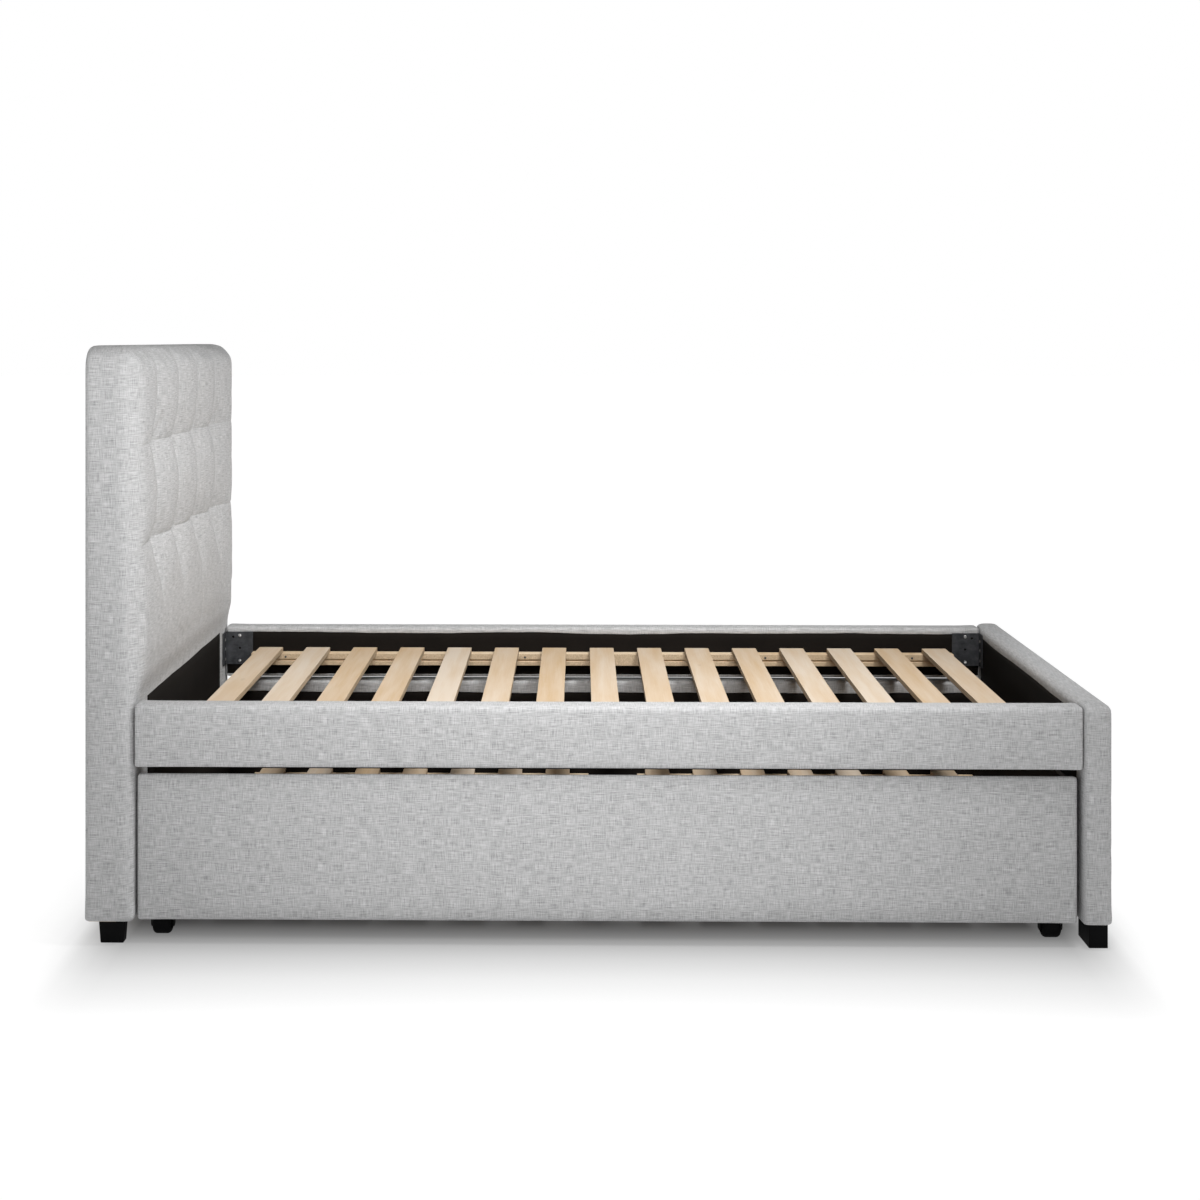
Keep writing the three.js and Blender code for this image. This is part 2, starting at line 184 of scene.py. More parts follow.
class Board:
    """An upholstered board's own axes: u along it, v up, w out of its good face."""

    def __init__(self, low, high, face):
        self.w = np.array(face, float)
        self.u = np.cross(UP, self.w)
        self.v = UP
        self.low = np.array(low, float)
        self.high = np.array(high, float)
        self.centre = (self.low + self.high) / 2
        size = self.high - self.low
        self.size = np.array([abs(size @ self.u), size[2], abs(size @ self.w)])

    def place(self, u, v, w):
        """Points in the row frame, for places on the board's own axes from its middle."""
        columns = (np.asarray(c, float).reshape(-1, 1) for c in np.broadcast_arrays(u, v, w))
        return self.centre + sum(c * axis for c, axis in zip(columns, (self.u, self.v, self.w)))

    def own(self, points):
        """The board's own u, v and w for points in the row frame."""
        offset = np.asarray(points, float) - self.centre
        return offset @ self.u, offset @ self.v, offset @ self.w


def edge_radius(su, sv, radii, above):
    """The edge's radius beside an outline, from the distances su and sv to it along u and v."""
    sides, top, bottom = radii
    end = np.where(above, top, bottom)
    corner = np.minimum(sides, end)
    along_side = corner + (sides - corner) * smooth(sv / ROLL_BLEND)
    along_end = corner + (end - corner) * smooth(su / ROLL_BLEND)
    return np.where(su < sv, along_side, along_end)


def soften(u, v, w, half, edges):
    """Moves the surface of a box, given by its half sizes, to one with rounded corners and rolled edges."""
    a, b, t = half
    above = v > 0
    radius = np.where(above, *edges.corners)
    du = u - np.clip(u, radius - a, a - radius)
    dv = v - np.clip(v, radius - b, b - radius)
    reach = np.maximum(abs(du), abs(dv))
    length = np.hypot(du, dv)
    shrink = np.where(length > 0, reach / np.where(length > 0, length, 1), 1)
    su, sv = a - abs(u), b - abs(v)
    inset = np.minimum(su, sv)
    u = u - du * (1 - shrink)
    v = v - dv * (1 - shrink)
    out_u = np.where(length > 0, du, np.where(su < sv, np.sign(u), 0.0))
    out_v = np.where(length > 0, dv, np.where(su < sv, 0.0, np.sign(v)))
    norm = np.maximum(np.hypot(out_u, out_v), 1e-12)
    out_u, out_v = out_u / norm, out_v / norm
    for sign, radii in ((1, edges.face), (-1, edges.back)):
        near = sign * w > 0
        r = edge_radius(su, sv, radii, above)
        below = t - sign * w
        theta = math.pi / 4 * (1 + np.clip((inset - below) / r, -1, 1))
        on_roll = near & (inset < r) & (below < r)
        shift = np.where(on_roll, r * (1 - np.cos(theta)) - inset, 0.0)
        drop = np.where(on_roll, r * (1 - np.sin(theta)), below)
        u = u - out_u * shift
        v = v - out_v * shift
        w = np.where(near, sign * (t - drop), w)
    return u, v, w


def slab(name, board, grids, edges, relief):
    """An upholstered board as one closed mesh of quads, with its cloth's own UVs.

    grids: the places of the grid lines along u, v and w. relief(u, v): how far the good face stands out.
    """
    nu, nv, nw = (len(grid) - 1 for grid in grids)
    index, keys = {}, []

    def at(i, j, k):
        if (i, j, k) not in index:
            index[i, j, k] = len(keys)
            keys.append((i, j, k))
        return index[i, j, k]

    faces, charts = [], []
    for k, chart in ((nw, "face"), (0, "back")):
        for i in range(nu):
            for j in range(nv):
                quad = [at(i, j, k), at(i + 1, j, k), at(i + 1, j + 1, k), at(i, j + 1, k)]
                faces.append(quad if k else quad[::-1])
                charts.append(chart)
    for j, chart in ((nv, "top"), (0, "bottom")):
        for i in range(nu):
            for k in range(nw):
                quad = [at(i, j, k), at(i, j, k + 1), at(i + 1, j, k + 1), at(i + 1, j, k)]
                faces.append(quad if j else quad[::-1])
                charts.append(chart)
    for i, chart in ((nu, "right"), (0, "left")):
        for j in range(nv):
            for k in range(nw):
                quad = [at(i, j, k), at(i, j + 1, k), at(i, j + 1, k + 1), at(i, j, k + 1)]
                faces.append(quad if i else quad[::-1])
                charts.append(chart)
    keys = np.array(keys)
    flat = [grid[keys[:, axis]] for axis, grid in enumerate(grids)]
    half = board.size / 2
    u, v, w = soften(*flat, half, edges)
    on_face = smooth(0.5 + w / board.size[2])
    w = w + relief(flat[0], flat[1]) * on_face
    flat_top = board.size[2] - edges.face[1] - edges.back[1]
    backwards = np.clip((half[2] - edges.face[1] - w) / flat_top, 0, 1)
    v = v - edges.drop * backwards * smooth((v - half[1] + DROP_REACH) / DROP_REACH)
    return mesh_object(name, board.place(u, v, w), faces, chart_uvs(flat, half, faces, charts))


def chart_uvs(flat, half, faces, charts):
    """The cloth runs flat over the good face, and carries on over the edges to the sides."""
    a, b, t = half
    uvs = []
    for face, chart in zip(faces, charts):
        for vertex in face:
            u, v, w = flat[0][vertex], flat[1][vertex], flat[2][vertex]
            uvs.append({
                "face": (u, v),
                "back": (2 * a + 2 * t + u, v),
                "top": (u, b + t - w),
                "bottom": (u, w - t - b),
                "right": (a + t - w, v),
                "left": (w - t - a, v),
            }[chart])
    return uvs


def strip(board, us, section):
    """A closed strip along u. section(u) gives its outline there as v and w, anticlockwise seen from +u."""
    rings = [np.array(section(u)) for u in us]
    count = len(rings[0])
    points = np.concatenate([board.place(u, ring[:, 0], ring[:, 1]) for u, ring in zip(us, rings)])
    faces, uvs = [], []
    around = np.concatenate([[0], np.cumsum(np.hypot(*np.diff(rings[0], axis=0).T))])
    around = np.append(around, around[-1] + HEM_THICK)
    for i in range(len(us) - 1):
        for j in range(count):
            k = (j + 1) % count
            faces.append([i * count + j, (i + 1) * count + j, (i + 1) * count + k, i * count + k])
            low, high = around[j], around[j + 1]
            uvs += [(us[i], low), (us[i + 1], low), (us[i + 1], high), (us[i], high)]
    for start, ring in ((0, range(count)), (len(us) - 1, reversed(range(count)))):
        faces.append([start * count + j for j in ring])
        uvs += [(0.0, 0.0)] * count
    return points, faces, uvs


def join_into(obj, other):
    with bpy.context.temp_override(active_object=obj, selected_editable_objects=[obj, other]):
        bpy.ops.object.join()


# ------------------------------------------------------------------ materials

def new_material(name):
    material = bpy.data.materials.new(name)
    material.use_nodes = True
    tree = material.node_tree
    return material, tree, tree.nodes["Principled BSDF"]


def feed(tree, target, inputs):
    """Links each of a node's named inputs to a socket, or gives it its value."""
    for key, value in inputs.items():
        if isinstance(value, bpy.types.NodeSocket):
            tree.links.new(value, target.inputs[key])
        else:
            target.inputs[key].default_value = value


def node(tree, kind, inputs=None, **settings):
    made = tree.nodes.new(kind)
    for key, value in settings.items():
        setattr(made, key, value)
    feed(tree, made, inputs or {})
    return made


def maths(tree, operation, *values):
    return node(tree, "ShaderNodeMath", dict(enumerate(values)), operation=operation).outputs[0]


def blend(tree, *terms, base=0.0):
    """The base plus the sum of (value, weight) terms."""
    total = base
    for value, weight in terms:
        total = maths(tree, "MULTIPLY_ADD", value, weight, total)
    return total


def bump(tree, height, strength, distance):
    inputs = {"Height": height, "Strength": strength, "Distance": distance}
    return node(tree, "ShaderNodeBump", inputs).outputs[0]


def noise(tree, vector, scale, stretch=(1, 1, 1), shift=(0, 0, 0), detail=2.0, roughness=0.5):
    """Noise whose features repeat scale times a metre, more or less often along each axis."""
    spread = tuple(scale * s for s in stretch)
    mapped = node(tree, "ShaderNodeMapping", {"Vector": vector, "Scale": spread, "Location": shift})
    inputs = {"Vector": mapped.outputs[0], "Scale": 1.0, "Detail": detail, "Roughness": roughness}
    return node(tree, "ShaderNodeTexNoise", inputs).outputs["Fac"]


def ramp(tree, value, stops):
    """A colour ramp. stops: (place, colour) pairs."""
    made = node(tree, "ShaderNodeValToRGB", {"Fac": value})
    elements = made.color_ramp.elements
    while len(elements) < len(stops):
        elements.new(0.5)
    for element, (place, colour) in zip(elements, stops):
        element.position = place
        element.color = (*colour, 1)
    return made.outputs["Color"]


def grey(level):
    return (level, level, level * 1.004)


def linen(level):
    """Grey linen-look cloth: pale and dark slubs along both threads, a plain weave, and a soft sheen."""
    material, tree, shader = new_material("grey_linen")
    cloth = node(tree, "ShaderNodeUVMap", uv_map=CLOTH_UV).outputs[0]
    level_slubs = noise(tree, cloth, 1, (34, 700, 1), detail=2.5, roughness=0.6)
    upright_slubs = noise(tree, cloth, 1, (700, 42, 1), (7.3, 2.1, 0), detail=2.5, roughness=0.6)
    fine = noise(tree, cloth, 900, (1, 1, 1), (3, 5, 0), detail=2)
    blotches = noise(tree, cloth, 9, detail=3, roughness=0.6)
    slubs = blend(tree, (level_slubs, 0.55), (upright_slubs, 0.45))
    mixed = blend(tree, (slubs, 1.0), (fine, 0.16), (blotches, 0.04), base=-0.10)
    colour = ramp(tree, mixed, [(0.37, grey(level * 0.60)), (0.5, grey(level)), (0.64, grey(level * 1.36))])
    weave = weave_height(tree, cloth, 1.1 * MM)
    feed(tree, shader, {
        "Base Color": colour,
        "Normal": bump(tree, blend(tree, (slubs, 1.0), (weave, 0.35)), 0.55, 0.7 * MM),
        "Roughness": 0.92,
        "Specular IOR Level": 0.2,
        "Sheen Weight": 0.06,
        "Sheen Roughness": 0.6,
    })
    return material


def weave_height(tree, cloth, pitch):
    """A plain weave: each thread goes over one and under the next."""
    split = node(tree, "ShaderNodeSeparateXYZ", {"Vector": cloth})
    across = maths(tree, "SINE", maths(tree, "MULTIPLY", split.outputs["X"], math.pi / pitch))
    along = maths(tree, "SINE", maths(tree, "MULTIPLY", split.outputs["Y"], math.pi / pitch))
    return maths(tree, "MULTIPLY", across, along)


def lining_cloth():
    """Thin black non-woven cloth, with faint fibres and a dull face."""
    material, tree, shader = new_material("black_lining")
    place = node(tree, "ShaderNodeTexCoord").outputs["Object"]
    fibres = noise(tree, place, 700, (1, 1, 1), detail=3, roughness=0.7)
    patches = noise(tree, place, 14, detail=2)
    mixed = blend(tree, (fibres, 0.6), (patches, 0.4))
    feed(tree, shader, {
        "Base Color": ramp(tree, mixed, [(0.3, (0.0044, 0.0033, 0.0026)), (0.7, (0.0095, 0.0071, 0.0055))]),
        "Normal": bump(tree, fibres, 0.3, 0.2 * MM),
        "Roughness": 0.9,
        "Specular IOR Level": 0.15,
    })
    return material


def wood(name, pale, warm, dark, pitch, start, ply):
    """Sawn wood whose grain runs along Y, each piece in a tint of its own.

    pitch and start: where the pieces are along X. ply: the number of layers that show on an edge, or 0.
    """
    material, tree, shader = new_material(name)
    place = node(tree, "ShaderNodeTexCoord").outputs["Object"]
    split = node(tree, "ShaderNodeSeparateXYZ", {"Vector": place})
    along = maths(tree, "SUBTRACT", split.outputs["X"], start)
    number = maths(tree, "FLOOR", maths(tree, "DIVIDE", along, pitch))
    piece = node(tree, "ShaderNodeTexWhiteNoise", {"W": number}, noise_dimensions="1D")
    tint, shift = piece.outputs["Value"], piece.outputs["Color"]
    moved = node(tree, "ShaderNodeVectorMath", {0: place, 1: shift}, operation="ADD").outputs[0]
    figure = noise(tree, moved, 1, (38, 3.2, 30), detail=3, roughness=0.55)
    fibres = noise(tree, moved, 1, (520, 9, 300), detail=3, roughness=0.6)
    flecks = noise(tree, moved, 1, (900, 90, 500), detail=1)
    mixed = blend(tree, (figure, 0.75), (fibres, 0.22), (tint, 0.34), (flecks, 0.10), base=-0.22)
    face = ramp(tree, mixed, [(0.28, pale), (0.52, warm), (0.80, dark)])
    face = mix_colour(tree, knot_mask(tree, moved), face, tuple(c * 0.55 for c in dark))
    # upright faces take a darker edge colour: partly the plywood's own layers, and partly a painted shade
    # that makes every side darker than the top
    normal = node(tree, "ShaderNodeNewGeometry").outputs["Normal"]
    upright = node(tree, "ShaderNodeSeparateXYZ", {"Vector": normal}).outputs["Z"]
    on_edge_ply_and_painted_shade = maths(tree, "LESS_THAN", maths(tree, "ABSOLUTE", upright), 0.6)
    layers = edge_layers(tree, split.outputs["Z"], fibres, ply)
    edge = ramp(tree, layers, [(0.3, tuple(c * 0.62 for c in dark)), (0.75, warm)])
    feed(tree, shader, {
        "Base Color": mix_colour(tree, maths(tree, "MULTIPLY", on_edge_ply_and_painted_shade, 0.85), face, edge),
        "Normal": bump(tree, blend(tree, (fibres, 1.0), (figure, 0.4)), 0.25, 0.3 * MM),
        "Roughness": blend(tree, (fibres, 0.22), base=0.50),
        "Specular IOR Level": 0.3,
    })
    return material


def mix_colour(tree, factor, first, second):
    """Mixes two colours, each a socket or a triple. The node's inputs 6 and 7 and output 2 are colours."""
    ends = [c if isinstance(c, bpy.types.NodeSocket) else (*c, 1) for c in (first, second)]
    return node(tree, "ShaderNodeMix", {0: factor, 6: ends[0], 7: ends[1]}, data_type="RGBA").outputs[2]


def knot_mask(tree, vector):
    """A few small knots, longer along the grain."""
    mapped = node(tree, "ShaderNodeMapping", {"Vector": vector, "Scale": (9, 3.4, 9)})
    cells = node(tree, "ShaderNodeTexVoronoi", {"Vector": mapped.outputs[0], "Scale": 1.0, "Randomness": 1.0})
    near = maths(tree, "SUBTRACT", 1.0, maths(tree, "DIVIDE", cells.outputs["Distance"], 0.075))
    chosen = node(tree, "ShaderNodeSeparateColor", {"Color": cells.outputs["Color"]}).outputs[0]
    rare = maths(tree, "GREATER_THAN", chosen, 0.72)
    return maths(tree, "MULTIPLY", maths(tree, "MAXIMUM", near, 0.0), maths(tree, "MULTIPLY", rare, 0.55))


def edge_layers(tree, z, fibres, ply):
    """Light and dark layers across the thickness, as the edge of plywood has."""
    if not ply:
        return fibres
    layers = maths(tree, "SINE", maths(tree, "MULTIPLY", z, math.pi * ply / PLY_THICK))
    return blend(tree, (layers, 0.22), base=fibres)


def steel(name, dark, pale, metallic, roughness):
    """Zinc-plated or bare steel with a cloudy, slightly scratched face."""
    material, tree, shader = new_material(name)
    place = node(tree, "ShaderNodeTexCoord").outputs["Object"]
    clouds = noise(tree, place, 55, detail=4, roughness=0.65)
    scratches = noise(tree, place, 1, (60, 60, 900), detail=2)
    mixed = blend(tree, (clouds, 0.8), (scratches, 0.2))
    feed(tree, shader, {
        "Base Color": ramp(tree, mixed, [(0.35, dark), (0.65, pale)]),
        "Normal": bump(tree, mixed, 0.15, 0.2 * MM),
        "Roughness": blend(tree, (clouds, 0.2), base=roughness),
        "Metallic": metallic,
    })
    return material


def black_plastic():
    """Moulded black plastic: a fine grain, and slight changes of gloss."""
    material, tree, shader = new_material("black_plastic")
    place = node(tree, "ShaderNodeTexCoord").outputs["Object"]
    grain = noise(tree, place, 1500, detail=1)
    wear = noise(tree, place, 30, detail=3)
    feed(tree, shader, {
        "Base Color": ramp(tree, wear, [(0.35, (0.0015, 0.0015, 0.0017)), (0.7, (0.004, 0.004, 0.0042))]),
        "Normal": bump(tree, grain, 0.2, 0.1 * MM),
        "Roughness": blend(tree, (wear, 0.2), base=0.55),
        "Specular IOR Level": 0.08,
    })
    return material


BIRCH = {"pale": (0.66, 0.56, 0.45), "warm": (0.61, 0.475, 0.335), "dark": (0.55, 0.385, 0.22)}
PINE = {"pale": (0.78, 0.63, 0.45), "warm": (0.72, 0.56, 0.38), "dark": (0.60, 0.43, 0.26)}
slat_boxes = [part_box("slat_01"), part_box("slat_02")]
SLAT_PITCH = slat_boxes[1][0].x - slat_boxes[0][0].x
SLAT_WIDTH = slat_boxes[0][1].x - slat_boxes[0][0].x
SLAT_START = slat_boxes[0][0].x - (SLAT_PITCH - SLAT_WIDTH) / 2

MATERIALS = {
    "linen": linen(0.44),
    "lining": lining_cloth(),
    "birch": wood("birch_slats", **BIRCH, pitch=SLAT_PITCH, start=SLAT_START, ply=5),
    "pine": wood("pine_ledgers", **PINE, pitch=0.9, start=-1.4, ply=0),
    "board": wood("pine_board", **PINE, pitch=0.3, start=-1.4, ply=0),
    "steel": steel("dark_steel", (0.035, 0.037, 0.042), (0.085, 0.088, 0.095), 0.55, 0.42),
    "zinc": steel("zinc_screws", (0.45, 0.45, 0.46), (0.7, 0.7, 0.7), 1.0, 0.22),
    "plastic": black_plastic(),
}


def dress(obj, material, body):
    """Gives a new piece its material and the body that it moves with."""
    obj.data.materials.clear()
    obj.data.materials.append(MATERIALS[material])
    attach(obj, body)
    return obj


def redress(name, material, bevel):
    """Gives a CAD node a better material and eased edges. Its shape and place stay the CAD's."""
    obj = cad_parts[name]
    obj.data.materials.clear()
    obj.data.materials.append(MATERIALS[material])
    if "custom_normal" in obj.data.attributes:
        obj.data.attributes.remove(obj.data.attributes["custom_normal"])
    obj.data.shade_smooth()
    add_modifier(obj, "WELD", merge_threshold=0.01 * MM)
    ease(obj, bevel, 35, harden_normals=True)
    return obj


# ------------------------------------------------------------------ cloth simulation

TAUT = {  # the linen's own settings
    "quality": 6, "mass": 0.25, "tension_stiffness": 18, "compression_stiffness": 18, "shear_stiffness": 8,
    "bending_stiffness": 0.6, "use_pressure": True,
}


def settle(obj, held, most, pressure, shrink, frames):
    """Lets the cloth of a padded board puff out and pucker between the places that hold it.

    held: for each vertex, how firmly it is held, from 0 to 1. most: how far a point may move, in metres.
    """
    start = np.array([v.co for v in obj.data.vertices])
    group = obj.vertex_groups.new(name="held")
    for level in np.unique(np.round(held, 2)):
        if level > 0:
            members = np.nonzero(np.round(held, 2) == level)[0].tolist()
            group.add(members, float(level), "REPLACE")
    cloth = add_modifier(obj, "CLOTH").settings
    for key, value in TAUT.items():
        setattr(cloth, key, value)
    cloth.vertex_group_mass = "held"
    cloth.uniform_pressure_force = pressure
    cloth.shrink_min = shrink
    cloth.effector_weights.gravity = 0
    scene = bpy.context.scene
    for number in range(1, frames + 1):
        scene.frame_set(number)
    evaluated = obj.evaluated_get(bpy.context.evaluated_depsgraph_get())
    moved = np.array([v.co for v in evaluated.data.vertices]) - start
    obj.modifiers.clear()
    obj.vertex_groups.clear()
    scene.frame_set(1)
    far = np.linalg.norm(moved, axis=1, keepdims=True)
    moved *= most * np.tanh(far / most) / np.maximum(far, 1e-9)
    obj.data.vertices.foreach_set("co", (start + moved).ravel())
    obj.data.update()


# ------------------------------------------------------------------ upholstered boards

def lined_board(node_name, face):
    """A board as thick as its CAD node, less the room for its lining. face: the way its good face looks."""
    low, high = (np.array(corner, float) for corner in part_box(node_name))
    face = np.array(face, float)
    low = low + np.where(face > 0, INNER_SETBACK, 0.0)
    high = high - np.where(face < 0, INNER_SETBACK, 0.0)
    return Board(low, high, face)


def plain_relief(board, seed, crown, rise, unevenness):
    """A flat padded face: a crown that rises over a distance from the top and bottom edges, and an unevenness
    that dies away at the edges."""
    a, b = board.size[0] / 2, board.size[1] / 2

    def relief(u, v):
        edge = smooth(np.minimum(a - abs(u), b - abs(v)) / 0.03)
        crowned = crown * smooth((b - abs(v)) / rise) * smooth((a - abs(u)) / 0.15)
        points = np.stack([u * 0.6, v, np.zeros_like(u)], axis=1)
        uneven = ripple(points, seed, 0.11, unevenness) + ripple(points, seed + 1, 0.035, 0.25 * unevenness)
        return crowned + uneven * edge

    return relief


def wavy(seed, wavelength, height):
    """A hand-cut edge: a function of the place along it."""
    def wave(u):
        points = np.stack([np.atleast_1d(u), np.zeros(np.size(u)), np.zeros(np.size(u))], axis=1)
        return ripple(points, seed, wavelength, height) + ripple(points, seed + 7, wavelength / 4, height / 4)
    return wave


def wrap_hem(board, edges, half_length, wrap, wave):
    """The linen that comes over the top of a board and ends in a folded hem on its inner face. It leaves the
    board's skin on the roll, so no crease shows."""
    inner = -board.size[2] / 2
    top = board.size[1] / 2
    side_roll, top_roll, _ = edges.back
    corner = min(side_roll, top_roll)
    turns = np.radians(np.linspace(15, 90, 8))
    lifts = (LINING_THICK + HEM_THICK) * smooth(np.linspace(0, 1, 8)) - 0.3 * MM * np.linspace(1, 0, 8)
    outer, under = inner - LINING_THICK - HEM_THICK, inner - LINING_THICK - 0.05 * MM

    def section(u):
        roll = corner + (top_roll - corner) * smooth((board.size[0] / 2 - abs(u)) / ROLL_BLEND)
        centre_v, centre_w = top - edges.drop - roll, inner + roll
        over = []
        for turn, lift in zip(turns, lifts):
            out = roll + lift
            over.append((centre_v + out * math.cos(turn), centre_w - out * math.sin(turn)))
        hem = top - wrap + float(wave(u)[0])
        fold = [(hem + 0.5 * HEM_THICK, outer), (hem, (outer + under) / 2), (hem + 0.5 * HEM_THICK, under)]
        deep = roll - 1.2 * MM
        back = [(centre_v - 1 * MM, inner + 0.8 * MM), (centre_v + 0.5 * deep, centre_w - 0.87 * deep)]
        return (over + fold + back)[::-1]

    return strip(board, lines(2 * half_length, 9 * MM), section)


def still(u):
    return np.zeros(np.size(u))


def lining_sheet(name, board, u_range, v_range, offset, seed, body, waves=(still,) * 4):
    """A thin black cloth stapled flat against a board's face.

    offset: its place along w from the board's middle. waves: how its four edges wander, left, right, bottom
    and top.
    """
    left, right, bottom, top = waves
    nu = max(4, round((u_range[1] - u_range[0]) / 0.02))
    nv = max(4, round((v_range[1] - v_range[0]) / 0.02))
    s, t = np.meshgrid(np.linspace(0, 1, nu + 1), np.linspace(0, 1, nv + 1), indexing="ij")
    s, t = s.ravel(), t.ravel()
    u_flat = u_range[0] + s * (u_range[1] - u_range[0])
    v_flat = v_range[0] + t * (v_range[1] - v_range[0])
    u = u_flat + (1 - s) * left(v_flat) + s * right(v_flat)
    v = v_flat + (1 - t) * bottom(u_flat) + t * top(u_flat)
    points = np.stack([u, v, np.zeros_like(u)], axis=1)
    slack = 0.5 + 0.5 * np.tanh(ripple(points, seed, 0.07, 0.6))
    w = offset + math.copysign(0.2 * MM, offset) * slack
    faces = []
    for i in range(nu):
        for j in range(nv):
            a = i * (nv + 1) + j
            quad = [a, a + nv + 1, a + nv + 2, a + 1]
            faces.append(quad if offset > 0 else quad[::-1])
    obj = mesh_object(name, board.place(u, v, w), faces)
    add_modifier(obj, "SOLIDIFY", thickness=LINING_THICK * 0.6, offset=1.0)
    dress(obj, "lining", body)
    return obj


def upholster(name, board, grids, edges, relief, wrap, hem_half, seed, body):
    """A padded board in linen, with a wrapped and stapled hem over its lining."""
    obj = slab(name, board, grids, edges, relief)
    simulate_board(obj, board)
    wave = wavy(seed, 0.35, 1.6 * MM)
    join_into(obj, mesh_object(f"{name}_hem", *wrap_hem(board, edges, hem_half, wrap, wave)))
    add_modifier(obj, "SUBSURF", levels=1, render_levels=1, boundary_smooth="PRESERVE_CORNERS")
    dress(obj, "linen", body)
    return obj


def simulate_board(obj, board):
    """The good face of a plain board is taut cloth, held at the back and all round, and it puffs a little."""
    u, v, w = board.own([vertex.co for vertex in obj.data.vertices])
    inside = np.minimum(board.size[0] / 2 - abs(u), board.size[1] / 2 - abs(v))
    face = w > board.size[2] / 2 - 12 * MM
    held = np.where(face, 1 - smooth((inside - 4 * MM) / (20 * MM)), 1.0)
    settle(obj, held, most=1.2 * MM, pressure=0.6, shrink=-0.004, frames=8)


def make_rails():
    for number, side in enumerate(SIDES):
        board = lined_board(f"side_rail_{side}", (0, SIDES[side], 0))
        length, height, thick = board.size
        grids = [
            lines(length, 14 * MM, ends=(6 * MM, 12 * MM)),
            lines(height, 11 * MM, ends=(4 * MM, 9 * MM, 14 * MM)),
            lines(thick, 11 * MM, ends=(5 * MM, 13 * MM)),
        ]
        relief = plain_relief(board, 11 + number, crown=1.0 * MM, rise=38 * MM, unevenness=0.35 * MM)
        rail = upholster(
            f"rail_cover_{side}", board, grids, RAIL_EDGES, relief, RAIL_WRAP, length / 2 - 3 * MM,
            21 + number, "bed",
        )
        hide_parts(f"side_rail_{side}")
        across = (4 * MM - length / 2, length / 2 - 4 * MM)
        up = (8 * MM - height / 2, height / 2 - RAIL_WRAP + 6 * MM)
        lining_sheet(f"rail_cover_{side}_lining", board, across, up, -thick / 2, 31 + number, "bed")


def make_trundle_panels():
    for number, side in enumerate(SIDES):
        board = lined_board(f"trundle_panel_{side}", (0, SIDES[side], 0))
        length, height, thick = board.size
        grids = [
            lines(length, 15 * MM, ends=(6 * MM, 12 * MM)),
            lines(height, 13 * MM, ends=(4 * MM, 9 * MM, 14 * MM)),
            lines(thick, 9 * MM, ends=(5 * MM, 12 * MM, 20 * MM)),
        ]
        relief = plain_relief(board, 41 + number, crown=4 * MM, rise=22 * MM, unevenness=0.5 * MM)
        panel = upholster(
            f"panel_cover_{side}", board, grids, PANEL_EDGES[side], relief, PANEL_WRAP[side],
            length / 2 - 14 * MM, 51 + number, "trundle",
        )
        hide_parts(f"trundle_panel_{side}")
        across = (5 * MM - length / 2, length / 2 - 5 * MM)
        up = (8 * MM - height / 2, height / 2 - PANEL_WRAP[side] + 6 * MM)
        lining_sheet(f"panel_cover_{side}_lining", board, across, up, -thick / 2, 61 + number, "trundle")


def make_footboard():
    board = lined_board("footboard", (1, 0, 0))
    length, height, thick = board.size
    grids = [
        lines(length, 14 * MM, ends=(9 * MM, 19 * MM)),
        lines(height, 13 * MM, ends=(5 * MM, 12 * MM, 20 * MM)),
        lines(thick, 10 * MM, ends=(8 * MM, 19 * MM)),
    ]
    relief = plain_relief(board, 71, crown=1.5 * MM, rise=130 * MM, unevenness=0.5 * MM)
    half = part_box("side_rail_back")[0].y - 1 * MM
    foot = upholster("footboard_cover", board, grids, FOOT_EDGES, relief, FOOT_WRAP, half, 72, "bed")
    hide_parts("footboard")
    lining_half = half - 3 * MM
    across = (-lining_half, lining_half)
    up = (12 * MM - height / 2, height / 2 - FOOT_WRAP + 7 * MM)
    lining_sheet("footboard_cover_lining", board, across, up, -thick / 2, 73, "bed")


# ------------------------------------------------------------------ tufted headboard

def dip(distance, span):
    """How far the cloth dips at a distance from a seam: a crease, and a broad arch that ends at the span."""
    return 0.2 * np.exp(-distance / TUFT_CREASE) + 0.8 * (1 - np.clip(distance / span, 0, 1)) ** 2


def tuft_relief(board):
    """Blind tufting: eight pulled nodes, the soft seams that join them, and a pillow between each four. The
    padding below is plain, and it is pressed flat where the rails meet the headboard."""
    def relief(u, v):
        y, z = u * board.u[1] + board.centre[1], v + board.centre[2]
        from_upright = np.min([abs(y - s) for s in SEAMS_ACROSS], axis=0)
        from_level = np.min([abs(z - s) for s in SEAMS_UP], axis=0)
        node_distance = np.hypot(from_upright, from_level)
        pull = 0.35 * np.exp(-node_distance / 0.014) + 0.65 * np.exp(-((node_distance / 0.055) ** 2))
        upright = dip(from_upright, (SEAMS_ACROSS[1] - SEAMS_ACROSS[0]) / 2)
        upright = upright * smooth((z - UPRIGHT_FADE[0]) / UPRIGHT_FADE[1])
        level = dip(from_level, (SEAMS_UP[1] - SEAMS_UP[0]) / 2)
        level = level * smooth((LEVEL_FADE[0] - abs(y)) / LEVEL_FADE[1])
        seams = 1 - (1 - upright) * (1 - level)
        points = np.stack([y, z, np.zeros_like(y)], axis=1)
        edge = smooth(np.minimum(board.size[0] / 2 - abs(u), board.size[1] / 2 - abs(v)) / 0.05)
        uneven = ripple(points, 81, 0.10, 0.45 * MM) + ripple(points, 82, 0.04, 0.2 * MM)
        free = smooth((z - PLUMP_FROM[0]) / PLUMP_FROM[1])
        return (HEAD_PLUMP + uneven) * edge * free - TUFT_NODE * pull - TUFT_SEAM * seams

    return relief


def slope_top(obj):
    """The headboard's top edge is a little higher on the side that faces forwards."""
    middle, change = HEAD_SLOPE
    for vertex in obj.data.vertices:
        lift = middle + change * vertex.co.y
        vertex.co.z += lift * float(smooth((vertex.co.z - 1.05) / 0.15))


